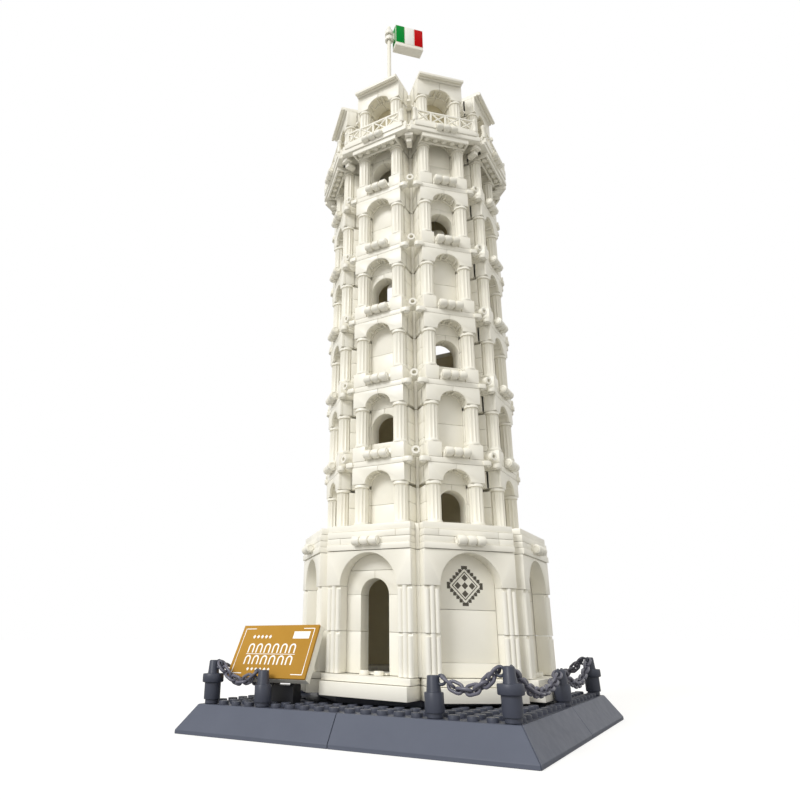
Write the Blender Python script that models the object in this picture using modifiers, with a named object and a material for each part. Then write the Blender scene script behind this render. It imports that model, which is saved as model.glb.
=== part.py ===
"""Brick-built souvenir model of a leaning arcaded bell tower on a studded display base.

Units are metres and +Z is up. The origin is the centre of the underside of the base.
The tower is eight hinged wall panels round a hollow core, tilted as one towards +X.
"""

import math

import bmesh
import bpy
from mathutils import Matrix, Vector

MM = 0.001
GAP = 0.3

# Display base
STUD_PITCH = 8.0
STUD_COUNT = 20
DECK_HALF = 79.8
DECK_TOP = 12.8
STUD_RADIUS = 2.4
STUD_HEIGHT = 1.7
STUD_SIDES = 6
STUD_KEEP_OUT = 70.0
BORDER_INNER = 80.1
BORDER_TOP = 80.6
BORDER_OUTER = 88.0
BORDER_LIP = 1.7
SEAM_HALF = 0.15

# Posts and chains
POST_ROW = 76.0
POST_FLANK = 44.0
POST_SIDE_Y = 4.0
POST_STEPS = 12
PLAIN_ATTACH = 14.2
CORNER_ATTACH = 18.0
PLAIN_REACH = 4.9
CORNER_REACH = 5.8
CHAIN_RADIUS = 2.2
SHORT_SAG = 5.2
LONG_SAG = 8.0
CHAIN_STEP = 4.0

# Tower placement
TOWER_X = 0.2
TOWER_Y = 12.0
LEAN = math.radians(1.64)
LEAN_PIVOT = 17.0
PANELS = 8
HALF_SECTOR = math.radians(22.5)

# Plinth
SLAB_LOW_FACE = 71.4
SLAB_LOW_HALF = 23.4
SLAB_LOW_Z = (17.0, 23.2)
SLAB_HIGH_FACE = 69.0
SLAB_HIGH_HALF = 24.0
SLAB_HIGH_Z = (23.5, 26.4)
NOTCH_RADIUS = 62.6
WEDGE_FACE = 56.0

# Ground storey
WALL_FACE = 66.4
WALL_BACK = 58.4
WALL_HALF = 24.0
INNER_BACK = 50.4
INNER_HALF = 20.0
GROUND_Z = (26.7, 84.6)
GROUND_ARCH_HALF = 16.0
GROUND_SPRING = 67.5
GROUND_STEPS = 10
DOOR_HALF = 8.0
DOOR_SPRING = 63.5
LEDGE_FACE = 67.2
LEDGE_Z = (84.4, 94.6)
CAP_FACE = 66.0
CAP_Z = (94.4, 97.6)
KNOB_Z = (86.2, 91.8)
KNOB_FACE = 71.6
KNOB_HALF = 7.6

# Arcade storeys
ARCADE_Z = 97.95
STOREY = 44.8
STOREYS = 6
PANEL_HALF = 16.0
SHELL_FACE = 55.5
SHELL_BACK = 47.3
CORE_FACE = 47.5
CORE_BACK = 39.6
COLUMN_AXIS = 51.5
COLUMN_LATERAL = 12.0
COLUMN_RADIUS = 3.8
COLUMN_SIDES = 6
COLUMN_HEIGHT = 23.6
SILL_HEIGHT = 1.2
ARCH_HALF = 8.0
ARCH_RISE = 6.7
ARCH_STEPS = 6
PLATE_TOP = 36.4
DOORWAY_SILL = 3.2
DOORWAY_SPRING = 12.4
FINGER_FACE = 60.5
FINGER_Z = (36.0, 42.0)
HINGE_HALF = 21.0
HINGE_Y = (52.0, 56.6)
HINGE_Z = (33.4, 36.2)
ARCADE_TOP = 255.2

# Belfry
BELFRY_FLOOR_Z = (353.5, 356.0)
BALCONY_HALF = 23.9
BALCONY_Y = (58.5, 63.0)
BALCONY_Z = (348.6, 356.0)
FLARE_Y = (55.9, 61.6)
FLARE_Z = (345.2, 348.8)
RAIL_HALF = 20.0
RAIL_Y = (61.0, 62.6)
RAIL_Z = (355.8, 365.4)
RAIL_BAR = 1.4
BELFRY_COLUMN_Z = 363.6
BELFRY_WALL_TOP = 400.2
NICHE_BACK = (39.8, 41.6)
ROOF_FACE = 60.0
ROOF_Z = (400.0, 403.2)
FLOOR_APOTHEM = 39.0

# Flag
POLE_XY = (-14.0, -10.0)
POLE_RADIUS = 1.6
POLE_Z = (356.3, 519.0)
POLE_SIDES = 12
FLAG_AZIMUTH = math.radians(46.0)
FLAG_START = 4.4
FLAG_LENGTH = 24.0
FLAG_DEPTH = 8.0
FLAG_Z = (496.3, 518.7)
CLIP_RADIUS = 3.3
CLIP_BORE = 2.0
CLIP_Z = (503.0, 513.0)

# Plaque
PLAQUE_X = -47.6
PLAQUE_HALF = 24.0
PLAQUE_EDGE = (-71.2, 25.0)
PLAQUE_RISE = 27.6
PLAQUE_TILT = math.radians(28.0)
FACE_THICK = 1.0
BACKING_THICK = 3.8
KNUCKLE_CENTRE = (-62.9, 26.6)
KNUCKLE_RADIUS = 2.4
KNUCKLE_X = (-47.2, -37.8)
BRACKET_X = (-50.0, -35.0)
BRACKET_Y = (-64.0, -57.2)
BRACKET_Z = (13.1, 21.6)
EAR_TOP = 28.4
EAR_THICK = 2.5


def clear_scene():
    for item in list(bpy.data.objects):
        bpy.data.objects.remove(item, do_unlink=True)


def new_collection(name):
    group = bpy.data.collections.new(name)
    bpy.context.scene.collection.children.link(group)
    return group


def plastic(name, colour, roughness):
    material = bpy.data.materials.new(name)
    material.use_nodes = True
    shader = material.node_tree.nodes["Principled BSDF"]
    shader.inputs["Base Color"].default_value = (*colour, 1.0)
    shader.inputs["Roughness"].default_value = roughness
    shader.inputs["Metallic"].default_value = 0.0
    return material


def mesh_from_bmesh(name, shape):
    bmesh.ops.recalc_face_normals(shape, faces=shape.faces)
    mesh = bpy.data.meshes.new(name)
    shape.to_mesh(mesh)
    shape.free()
    return mesh


def add_box(shape, low, high):
    """Adds a box between two corners given in millimetres."""
    low = Vector(low) * MM
    high = Vector(high) * MM
    size = high - low
    centre = (high + low) / 2
    place = Matrix.Translation(centre) @ Matrix.Diagonal((*size, 1.0))
    bmesh.ops.create_cube(shape, size=1.0, matrix=place)


def add_rod(shape, centre, radius, span, sides, axis="Z"):
    """Adds a closed prism along Z or X; span is its two ends in millimetres."""
    middle = (span[0] + span[1]) / 2
    length = span[1] - span[0]
    turn = Matrix.Rotation(math.pi / sides, 4, "Z")
    if axis == "X":
        place = Matrix.Translation(Vector((middle, centre[0], centre[1])) * MM)
        turn = Matrix.Rotation(math.pi / 2, 4, "Y") @ turn
    else:
        place = Matrix.Translation(Vector((centre[0], centre[1], middle)) * MM)
    bmesh.ops.create_cone(
        shape,
        cap_ends=True,
        segments=sides,
        radius1=radius * MM,
        radius2=radius * MM,
        depth=length * MM,
        matrix=place @ turn,
    )


def boxes_mesh(name, corners):
    shape = bmesh.new()
    for low, high in corners:
        add_box(shape, low, high)
    return mesh_from_bmesh(name, shape)


def outline_mesh(name, loops, thickness):
    """Extrudes closed outlines, given in millimetres, into a welded mesh along Z."""
    curve = bpy.data.curves.new(name, "CURVE")
    curve.dimensions = "2D"
    curve.fill_mode = "BOTH"
    curve.extrude = thickness * MM / 2
    for loop in loops:
        spline = curve.splines.new("POLY")
        spline.points.add(len(loop) - 1)
        for point, (x, y) in zip(spline.points, loop):
            point.co = (x * MM, y * MM, 0.0, 1.0)
        spline.use_cyclic_u = True
    guide = bpy.data.objects.new(name + "_outline", curve)
    bpy.context.scene.collection.objects.link(guide)
    bpy.context.view_layer.update()
    seen = guide.evaluated_get(bpy.context.evaluated_depsgraph_get())
    mesh = bpy.data.meshes.new_from_object(seen)
    bpy.data.objects.remove(guide, do_unlink=True)
    bpy.data.curves.remove(curve)
    shape = bmesh.new()
    shape.from_mesh(mesh)
    bmesh.ops.remove_doubles(shape, verts=shape.verts, dist=0.00001)
    bpy.data.meshes.remove(mesh)
    return mesh_from_bmesh(name, shape)


def upright_mesh(name, loops, face, back):
    """Stands outlines drawn as (lateral, height) up as a wall from face to back."""
    mesh = outline_mesh(name, loops, face - back)
    stand = Matrix.Rotation(math.pi / 2, 4, "X")
    middle = Matrix.Translation((0.0, -(face + back) / 2 * MM, 0.0))
    mesh.transform(middle @ stand)
    return mesh


def level_mesh(name, loops, span):
    """Lays outlines drawn as (x, y) flat between two heights."""
    mesh = outline_mesh(name, loops, span[1] - span[0])
    mesh.transform(Matrix.Translation((0.0, 0.0, (span[0] + span[1]) / 2 * MM)))
    return mesh


def make_object(name, mesh, material, group):
    mesh.materials.clear()
    mesh.materials.append(material)
    item = bpy.data.objects.new(name, mesh)
    group.objects.link(item)
    return item


def combined_mesh(mesh, steps):
    """Joins or cuts a mesh with others, in its own upright axes, and returns the result."""
    bench = bpy.data.objects.new(mesh.name, mesh)
    bpy.context.scene.collection.objects.link(bench)
    tools = []
    for operation, other in steps:
        tool = bpy.data.objects.new(other.name, other)
        bpy.context.scene.collection.objects.link(tool)
        step = bench.modifiers.new(operation.title(), "BOOLEAN")
        step.operation = operation
        step.solver = "EXACT"
        step.object = tool
        tools.append(tool)
    bpy.context.view_layer.update()
    seen = bench.evaluated_get(bpy.context.evaluated_depsgraph_get())
    result = bpy.data.meshes.new_from_object(seen)
    for item in [bench] + tools:
        bpy.data.objects.remove(item, do_unlink=True)
    return result


def arc(half, spring, rise, steps):
    """Points from the right spring of an arch over its crown to the left spring."""
    points = []
    for index in range(steps + 1):
        angle = math.pi * index / steps
        points.append((half * math.cos(angle), spring + rise * math.sin(angle)))
    return points


def tower_place():
    """Matrix from the upright tower to its leaning place on the base."""
    move = Matrix.Translation(Vector((TOWER_X, TOWER_Y, LEAN_PIVOT)) * MM)
    back = Matrix.Translation(Vector((0.0, 0.0, -LEAN_PIVOT)) * MM)
    return move @ Matrix.Rotation(LEAN, 4, "Y") @ back


def panel_place(index):
    return tower_place() @ Matrix.Rotation(index * 2 * HALF_SECTOR, 4, "Z")


# Display base


def stud_positions():
    """Stud centres that neither a post, the plaque's bracket nor the tower covers."""
    taken = post_positions()
    places = []
    for row in range(STUD_COUNT):
        for column in range(STUD_COUNT):
            x = (column - (STUD_COUNT - 1) / 2) * STUD_PITCH
            y = (row - (STUD_COUNT - 1) / 2) * STUD_PITCH
            if is_free(x, y, taken):
                places.append((x, y))
    return places


def is_free(x, y, taken):
    if any(abs(x - px) < 1 and abs(y - py) < 1 for px, py in taken):
        return False
    if in_span(x, BRACKET_X) and in_span(y, BRACKET_Y):
        return False
    return apothem_of(x - TOWER_X, y - TOWER_Y) > STUD_KEEP_OUT


def in_span(value, span):
    return span[0] - STUD_RADIUS - GAP < value < span[1] + STUD_RADIUS + GAP


def apothem_of(x, y):
    """Distance of a point from the tower's axis, measured square to the nearest panel."""
    reach = []
    for index in range(PANELS):
        angle = index * 2 * HALF_SECTOR
        reach.append(x * math.sin(angle) - y * math.cos(angle))
    return max(reach)


def build_deck(group, material):
    half = DECK_HALF
    slab = boxes_mesh("deck", [((-half, -half, 0.0), (half, half, DECK_TOP))])
    shape = bmesh.new()
    for place in stud_positions():
        add_rod(shape, place, STUD_RADIUS, (DECK_TOP - 1.0, DECK_TOP + STUD_HEIGHT), STUD_SIDES)
    deck = combined_mesh(slab, [("UNION", mesh_from_bmesh("studs", shape))])
    make_object("deck", deck, material, group)


def border_half_mesh(name):
    """The right half of the front border, from the middle seam to the mitred corner."""
    profile = [
        (-BORDER_INNER, 0.0),
        (-BORDER_INNER, DECK_TOP),
        (-BORDER_TOP, DECK_TOP),
        (-BORDER_OUTER, BORDER_LIP),
        (-BORDER_OUTER, 0.0),
    ]
    length = BORDER_OUTER + 2.0 - SEAM_HALF
    mesh = outline_mesh(name, [profile], length)
    turn = Matrix.Rotation(math.pi / 2, 4, "Z") @ Matrix.Rotation(math.pi / 2, 4, "X")
    middle = Matrix.Translation(((SEAM_HALF + length / 2) * MM, 0.0, 0.0))
    mesh.transform(middle @ turn)
    shape = bmesh.new()
    shape.from_mesh(mesh)
    corner = Vector((SEAM_HALF, 0.0, 0.0)) * MM
    cut = bmesh.ops.bisect_plane(
        shape,
        geom=shape.verts[:] + shape.edges[:] + shape.faces[:],
        plane_co=-corner,
        plane_no=(1.0, 1.0, 0.0),
        clear_outer=True,
    )
    rim = [part for part in cut["geom_cut"] if isinstance(part, bmesh.types.BMEdge)]
    bmesh.ops.contextual_create(shape, geom=rim)
    bpy.data.meshes.remove(mesh)
    return mesh_from_bmesh(name, shape)


def flipped_copy(mesh, name):
    """The same piece seen in a mirror across the YZ plane."""
    shape = bmesh.new()
    shape.from_mesh(mesh)
    bmesh.ops.scale(shape, vec=(-1.0, 1.0, 1.0), verts=shape.verts)
    return mesh_from_bmesh(name, shape)


def build_borders(group, material):
    right = border_half_mesh("border")
    left = flipped_copy(right, "border_mirrored")
    sides = ("front", "right", "back", "left")
    for quarter, side in enumerate(sides):
        turn = Matrix.Rotation(quarter * math.pi / 2, 4, "Z")
        for hand, source in (("a", left), ("b", right)):
            mesh = source.copy()
            mesh.transform(turn)
            make_object("border_" + side + "_" + hand, mesh, material, group)


def post_positions():
    """Two rows of four posts, and one post in the middle of each side."""
    rows = []
    for y in (-POST_ROW, POST_ROW):
        for x in (-POST_ROW, -POST_FLANK, POST_FLANK, POST_ROW):
            rows.append((x, y))
    return rows + [(-POST_ROW, POST_SIDE_Y), (POST_ROW, POST_SIDE_Y)]


def turned_object(name, profile, place, material, group):
    """Turns a (radius, height) profile, listed from the top down, round the Z axis."""
    shape = bmesh.new()
    points = [shape.verts.new((r * MM, 0.0, z * MM)) for r, z in profile]
    for first, second in zip(points, points[1:]):
        shape.edges.new((first, second))
    mesh = bpy.data.meshes.new(name)
    shape.to_mesh(mesh)
    shape.free()
    item = make_object(name, mesh, material, group)
    item.location = Vector(place) * MM
    turn = item.modifiers.new("Turn", "SCREW")
    turn.steps = POST_STEPS
    turn.render_steps = POST_STEPS
    turn.use_merge_vertices = True
    turn.merge_threshold = 0.00001
    turn.use_smooth_shade = False
    return item


def build_posts(group, material):
    plain = [(0.0, 16.0), (2.5, 16.0), (3.0, 10.2), (4.0, 9.6), (4.0, 2.2), (3.3, 2.0), (3.3, GAP),
             (0.0, GAP)]
    corner = [(0.0, 20.0), (2.2, 20.0), (2.7, 14.2), (5.2, 13.8), (5.2, 9.8), (4.0, 9.6),
              (4.0, 2.2), (3.3, 2.0), (3.3, GAP), (0.0, GAP)]
    names = ("front_a", "front_b", "front_c", "front_d", "back_a", "back_b", "back_c", "back_d",
             "left", "right")
    for name, (x, y) in zip(names, post_positions()):
        is_corner = abs(x) == POST_ROW and abs(y) == POST_ROW
        profile = corner if is_corner else plain
        turned_object("post_" + name, profile, (x, y, DECK_TOP), material, group)


def hanging_points(start, end, sag):
    """Points of a hanging chain between two attachment points, in millimetres."""
    span = (end - start).length
    count = max(4, round(span / CHAIN_STEP))
    points = []
    for index in range(count + 1):
        t = index / count
        point = start.lerp(end, t)
        point.z -= sag * 4 * t * (1 - t)
        points.append(point)
    return points


def build_chain(name, corner, plain, sag, material, group):
    along = (Vector((*plain, 0.0)) - Vector((*corner, 0.0))).normalized()
    start = Vector((*corner, DECK_TOP + CORNER_ATTACH)) + along * CORNER_REACH
    end = Vector((*plain, DECK_TOP + PLAIN_ATTACH)) - along * PLAIN_REACH
    curve = bpy.data.curves.new(name, "CURVE")
    curve.dimensions = "3D"
    curve.bevel_depth = CHAIN_RADIUS * MM
    curve.bevel_resolution = 2
    curve.use_fill_caps = True
    points = hanging_points(start, end, sag)
    spline = curve.splines.new("POLY")
    spline.points.add(len(points) - 1)
    for target, point in zip(spline.points, points):
        target.co = (*(point * MM), 1.0)
    item = bpy.data.objects.new(name, curve)
    curve.materials.append(material)
    group.objects.link(item)


def build_chains(group, material):
    row = POST_ROW
    flank = POST_FLANK
    side = POST_SIDE_Y
    routes = (
        ("chain_front_left", (-row, -row), (-flank, -row), SHORT_SAG),
        ("chain_front_right", (row, -row), (flank, -row), SHORT_SAG),
        ("chain_back_left", (-row, row), (-flank, row), SHORT_SAG),
        ("chain_back_right", (row, row), (flank, row), SHORT_SAG),
        ("chain_left_front", (-row, -row), (-row, side), LONG_SAG),
        ("chain_left_back", (-row, row), (-row, side), LONG_SAG),
        ("chain_right_front", (row, -row), (row, side), LONG_SAG),
        ("chain_right_back", (row, row), (row, side), LONG_SAG),
    )
    for name, corner, plain, sag in routes:
        build_chain(name, corner, plain, sag, material, group)


# Plaque


def plaque_place():
    """Matrix from a plaque drawn in its own plane to its tilted place on the base."""
    y, z = PLAQUE_EDGE
    move = Matrix.Translation(Vector((PLAQUE_X, y, z)) * MM)
    return move @ Matrix.Rotation(-PLAQUE_TILT, 4, "X")


def build_plaque(group, dark, white, gold):
    half = PLAQUE_HALF
    top = PLAQUE_RISE
    front = FACE_THICK
    back = FACE_THICK + GAP + BACKING_THICK
    face = boxes_mesh("plaque_face", [((-half, 0.0, 0.0), (half, front, top))])
    face.transform(plaque_place())
    make_object("plaque_face", face, gold, group)
    backing = boxes_mesh("plaque_backing", [((-half, front + GAP, 0.0), (half, back, top))])
    backing.transform(plaque_place())
    shape = bmesh.new()
    add_rod(shape, KNUCKLE_CENTRE, KNUCKLE_RADIUS, KNUCKLE_X, POST_STEPS, "X")
    backing = combined_mesh(backing, [("UNION", mesh_from_bmesh("knuckle", shape))])
    make_object("plaque_backing", backing, white, group)
    build_bracket(group, dark)


def build_bracket(group, dark):
    (x0, x1), (y0, y1), (z0, z1) = BRACKET_X, BRACKET_Y, BRACKET_Z
    block = boxes_mesh("plaque_bracket", [((x0, y0, z0), (x1, y1, z1))])
    ears = [
        ((x0, y0 + 0.8, z1 - 0.5), (x0 + EAR_THICK, y1 - 0.4, EAR_TOP)),
        ((x1 - EAR_THICK, y0 + 0.8, z1 - 0.5), (x1, y1 - 0.4, EAR_TOP)),
    ]
    low = (-PLAQUE_HALF, -6.0, -4.0)
    high = (PLAQUE_HALF, FACE_THICK + BACKING_THICK + 2 * GAP, PLAQUE_RISE)
    relief = boxes_mesh("relief", [(low, high)])
    relief.transform(plaque_place())
    steps = [("UNION", boxes_mesh("ears", ears)), ("DIFFERENCE", relief)]
    make_object("plaque_bracket", combined_mesh(block, steps), dark, group)


# Tower


def star_outline(face, half):
    """Octagonal slab with a V notch between neighbouring panels."""
    points = []
    for index in range(PANELS):
        angle = index * 2 * HALF_SECTOR
        turn = Matrix.Rotation(angle, 2)
        for lateral in (-half, half):
            points.append(tuple(turn @ Vector((lateral, -face))))
        notch = Matrix.Rotation(angle + HALF_SECTOR, 2) @ Vector((0.0, -NOTCH_RADIUS))
        points.append(tuple(notch))
    return points


def octagon(apothem):
    radius = apothem / math.cos(HALF_SECTOR)
    points = []
    for index in range(PANELS):
        angle = (2 * index + 1) * HALF_SECTOR
        points.append((radius * math.sin(angle), -radius * math.cos(angle)))
    return points


def build_plinth(group, white, dark):
    rows = (
        ("plinth_lower", SLAB_LOW_FACE, SLAB_LOW_HALF, SLAB_LOW_Z),
        ("plinth_upper", SLAB_HIGH_FACE, SLAB_HIGH_HALF, SLAB_HIGH_Z),
    )
    for name, face, half, span in rows:
        mesh = level_mesh(name, [star_outline(face, half)], span)
        mesh.transform(tower_place())
        make_object(name, mesh, white, group)
    top = SLAB_LOW_Z[0] - GAP
    wedge = level_mesh("tilt_wedge", [octagon(WEDGE_FACE)], (8.0, top))
    wedge.transform(tower_place())
    floor = boxes_mesh("floor", [((-88.0, -88.0, 0.0), (88.0, 88.0, DECK_TOP + GAP))])
    make_object("tilt_wedge", combined_mesh(wedge, [("DIFFERENCE", floor)]), dark, group)


def arched_wall(half, span, opening, spring, rise, steps):
    """A wall outline whose arched opening reaches its foot."""
    low, high = span
    loop = [(half, low), (half, high), (-half, high), (-half, low), (-opening, low)]
    crown = arc(opening, spring, rise, steps)
    loop += list(reversed(crown))
    return loop + [(opening, low)]


def rectangle(half, span):
    low, high = span
    return [(-half, low), (half, low), (half, high), (-half, high)]


def sector_plate(back, face, half, span):
    """A floor plate that follows the panel's sector from its back to its face."""
    tangent = math.tan(HALF_SECTOR)
    inner = back * tangent - GAP
    bend = (half + GAP) / tangent
    loop = [(-inner, -back), (-half, -bend), (-half, -face), (half, -face), (half, -bend),
            (inner, -back)]
    return level_mesh("floor_plate", [loop], span)


def build_ground_panel(index, group, white):
    name = "ground_wall_" + str(index)
    outline = arched_wall(WALL_HALF, GROUND_Z, GROUND_ARCH_HALF, GROUND_SPRING,
                          GROUND_ARCH_HALF, GROUND_STEPS)
    wall = upright_mesh(name, [outline], WALL_FACE, WALL_BACK)
    if index % 2 == 0:
        loop = arched_wall(INNER_HALF, GROUND_Z, DOOR_HALF, DOOR_SPRING, DOOR_HALF, ARCH_STEPS)
    else:
        loop = rectangle(INNER_HALF, GROUND_Z)
    inner = upright_mesh("inner", [loop], WALL_BACK + 0.2, INNER_BACK)
    ledge = [((-WALL_HALF, -LEDGE_FACE, LEDGE_Z[0]), (WALL_HALF, -WALL_BACK, LEDGE_Z[1]))]
    cap = sector_plate(CORE_BACK, CAP_FACE, WALL_HALF - 0.1, CAP_Z)
    knob = [((-KNOB_HALF, -KNOB_FACE, KNOB_Z[0]), (KNOB_HALF, -LEDGE_FACE + 1.0, KNOB_Z[1]))]
    steps = [
        ("UNION", inner),
        ("UNION", boxes_mesh("ledge", ledge)),
        ("UNION", cap),
        ("UNION", boxes_mesh("knob", knob)),
    ]
    mesh = combined_mesh(wall, steps)
    mesh.transform(panel_place(index))
    make_object(name, mesh, white, group)


def storey_base(level):
    return ARCADE_Z + level * STOREY


def band_outline(base, top, has_pedestals):
    """The spandrel over one arch, and the pedestals of the columns above it."""
    low = base + COLUMN_HEIGHT
    half = PANEL_HALF
    loop = [(half, low), (half, top)]
    if has_pedestals:
        sill = base + PLATE_TOP
        loop += [(ARCH_HALF, top), (ARCH_HALF, sill), (-ARCH_HALF, sill), (-ARCH_HALF, top)]
    loop += [(-half, top), (-half, low)]
    return loop + list(reversed(arc(ARCH_HALF, low, ARCH_RISE, ARCH_STEPS)))


def doorway_outline(base):
    """An arched doorway through the core wall behind an open arch."""
    spring = base + DOORWAY_SPRING
    sill = base + DOORWAY_SILL
    return [(-ARCH_HALF, sill), (ARCH_HALF, sill)] + arc(ARCH_HALF, spring, ARCH_HALF, ARCH_STEPS)


def add_columns(shape, base, sill):
    span = (base + sill - 0.2, base + COLUMN_HEIGHT + 0.2)
    for side in (-1, 1):
        centre = (side * COLUMN_LATERAL, -COLUMN_AXIS)
        add_rod(shape, centre, COLUMN_RADIUS, span, COLUMN_SIDES)


def is_open(index, level):
    """Open and blind arches alternate up each panel and round the tower."""
    return (index + level) % 2 == 1


def build_arcade_panel(index, group, white):
    name = "arcade_" + str(index)
    top = ARCADE_Z + ARCADE_TOP
    loops = [rectangle(PANEL_HALF, (ARCADE_Z, top))]
    for level in range(STOREYS):
        if is_open(index, level):
            loops.append(doorway_outline(storey_base(level)))
    core = upright_mesh(name, loops, CORE_FACE, CORE_BACK)
    columns = bmesh.new()
    for level in range(STOREYS):
        add_columns(columns, storey_base(level), SILL_HEIGHT if level == 0 else 0.0)
    steps = [
        ("UNION", arcade_shell(top)),
        ("UNION", mesh_from_bmesh("columns", columns)),
        ("UNION", hinge_plates()),
        ("UNION", finger_plates()),
    ]
    mesh = combined_mesh(core, steps)
    mesh.transform(panel_place(index))
    make_object(name, mesh, white, group)


def arcade_shell(top):
    """Sill and spandrel bands of the outer layer, as separate closed pieces."""
    loops = [rectangle(PANEL_HALF, (ARCADE_Z, ARCADE_Z + SILL_HEIGHT + 0.2))]
    for level in range(STOREYS):
        base = storey_base(level)
        last = level == STOREYS - 1
        loops.append(band_outline(base, top if last else base + STOREY, not last))
    return upright_mesh("shell", loops, SHELL_FACE, SHELL_BACK)


def finger_plates():
    """The finger plate in the middle of each storey's foot."""
    corners = []
    for level in range(STOREYS - 1):
        base = storey_base(level)
        corners.append(((-KNOB_HALF, -FINGER_FACE, base + FINGER_Z[0]),
                        (KNOB_HALF, -HINGE_Y[0] - 1.0, base + FINGER_Z[1])))
    return boxes_mesh("fingers", corners)


def hinge_plates():
    """The plate across each storey's foot that hinges on the neighbouring panels."""
    corners = []
    for level in range(STOREYS - 1):
        base = storey_base(level)
        corners.append(((-HINGE_HALF, -HINGE_Y[1], base + HINGE_Z[0]),
                        (HINGE_HALF, -HINGE_Y[0], base + HINGE_Z[1])))
    return boxes_mesh("hinges", corners)


def rail_loops():
    """The balcony rail: a bar top and bottom with five uprights."""
    low, high = RAIL_Z
    loops = [rectangle(RAIL_HALF, RAIL_Z)]
    bays = 4
    width = 2 * RAIL_HALF / bays
    for bay in range(bays):
        x0 = -RAIL_HALF + bay * width + RAIL_BAR / 2
        x1 = x0 + width - RAIL_BAR
        loops.append([(x0, low + RAIL_BAR), (x1, low + RAIL_BAR), (x1, high - RAIL_BAR),
                      (x0, high - RAIL_BAR)])
    return loops


def build_belfry_panel(index, group, white):
    name = "belfry_" + str(index)
    base = BELFRY_COLUMN_Z
    crown = base + COLUMN_HEIGHT
    floor_top = BELFRY_FLOOR_Z[1]
    wall = [rectangle(PANEL_HALF, (floor_top - 0.2, BELFRY_WALL_TOP))]
    wall.append([(-ARCH_HALF, base), (ARCH_HALF, base)] + arc(ARCH_HALF, crown, ARCH_RISE, ARCH_STEPS))
    core = upright_mesh(name, wall, CORE_FACE, CORE_BACK)
    closing = [rectangle(ARCH_HALF + 1.0, (base - 1.0, crown + ARCH_RISE + 1.0))]
    plate = sector_plate(CORE_BACK, BALCONY_Y[1], BALCONY_HALF, BELFRY_FLOOR_Z)
    shell = [
        rectangle(PANEL_HALF, (floor_top - 0.2, base)),
        band_outline(base, BELFRY_WALL_TOP, False),
    ]
    columns = bmesh.new()
    add_columns(columns, base, 0.0)
    rim = [((-BALCONY_HALF, -BALCONY_Y[1] - 0.2, BALCONY_Z[0]),
            (BALCONY_HALF, -BALCONY_Y[0], BALCONY_Z[1] - 0.2))]
    flare = [((-PANEL_HALF, -FLARE_Y[1], FLARE_Z[0]), (PANEL_HALF, -FLARE_Y[0], FLARE_Z[1]))]
    roof_half = PANEL_HALF - 0.1
    roof = [((-roof_half, -ROOF_FACE, ROOF_Z[0]), (roof_half, -CORE_BACK - 0.2, ROOF_Z[1]))]
    steps = [
        ("UNION", upright_mesh("closing", closing, NICHE_BACK[1], NICHE_BACK[0])),
        ("UNION", plate),
        ("UNION", upright_mesh("shell", shell, SHELL_FACE, SHELL_BACK)),
        ("UNION", mesh_from_bmesh("columns", columns)),
        ("UNION", boxes_mesh("rim", rim)),
        ("UNION", boxes_mesh("flare", flare)),
        ("UNION", boxes_mesh("roof", roof)),
        ("UNION", upright_mesh("rail", rail_loops(), RAIL_Y[1], RAIL_Y[0])),
    ]
    mesh = combined_mesh(core, steps)
    mesh.transform(panel_place(index))
    make_object(name, mesh, white, group)


# Flag


def pole_place():
    return tower_place() @ Matrix.Translation(Vector((*POLE_XY, 0.0)) * MM)


def build_flag(group, white, green):
    floor = level_mesh("belfry_floor", [octagon(FLOOR_APOTHEM)], BELFRY_FLOOR_Z)
    floor.transform(tower_place())
    make_object("belfry_floor", floor, white, group)
    shape = bmesh.new()
    add_rod(shape, (0.0, 0.0), POLE_RADIUS, POLE_Z, POLE_SIDES)
    pole = mesh_from_bmesh("flagpole", shape)
    pole.transform(pole_place())
    make_object("flagpole", pole, white, group)
    half = FLAG_DEPTH / 2
    low = (FLAG_START, -half, FLAG_Z[0])
    cloth = boxes_mesh("flag", [(low, (FLAG_START + FLAG_LENGTH, half, FLAG_Z[1]))])
    clip = bmesh.new()
    add_rod(clip, (0.0, 0.0), CLIP_RADIUS, CLIP_Z, POLE_SIDES)
    arm = [((1.0, -1.5, CLIP_Z[0] + 1.0), (FLAG_START + 1.0, 1.5, CLIP_Z[1] - 1.0))]
    bore = bmesh.new()
    add_rod(bore, (0.0, 0.0), CLIP_BORE, (CLIP_Z[0] - 4.0, CLIP_Z[1] + 4.0), POLE_SIDES)
    steps = [
        ("UNION", mesh_from_bmesh("clip", clip)),
        ("UNION", boxes_mesh("arm", arm)),
        ("DIFFERENCE", mesh_from_bmesh("bore", bore)),
    ]
    mesh = combined_mesh(cloth, steps)
    mesh.transform(pole_place() @ Matrix.Rotation(FLAG_AZIMUTH, 4, "Z"))
    make_object("flag", mesh, green, group)


def build():
    clear_scene()
    group = new_collection("leaning_tower_model")
    slate = plastic("slate_plastic", (0.10, 0.11, 0.14), 0.35)
    border = plastic("border_plastic", (0.16, 0.18, 0.22), 0.4)
    steel = plastic("chain_plastic", (0.22, 0.23, 0.27), 0.3)
    ivory = plastic("ivory_plastic", (0.87, 0.85, 0.78), 0.35)
    black = plastic("black_plastic", (0.03, 0.03, 0.04), 0.35)
    gold = plastic("gold_print", (0.60, 0.38, 0.11), 0.4)
    green = plastic("flag_plastic", (0.02, 0.35, 0.10), 0.35)
    build_deck(group, slate)
    build_borders(group, border)
    build_posts(group, slate)
    build_chains(group, steel)
    build_plaque(group, black, ivory, gold)
    build_plinth(group, ivory, slate)
    for index in range(PANELS):
        build_ground_panel(index, group, ivory)
        build_arcade_panel(index, group, ivory)
        build_belfry_panel(index, group, ivory)
    build_flag(group, ivory, green)


build()
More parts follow.
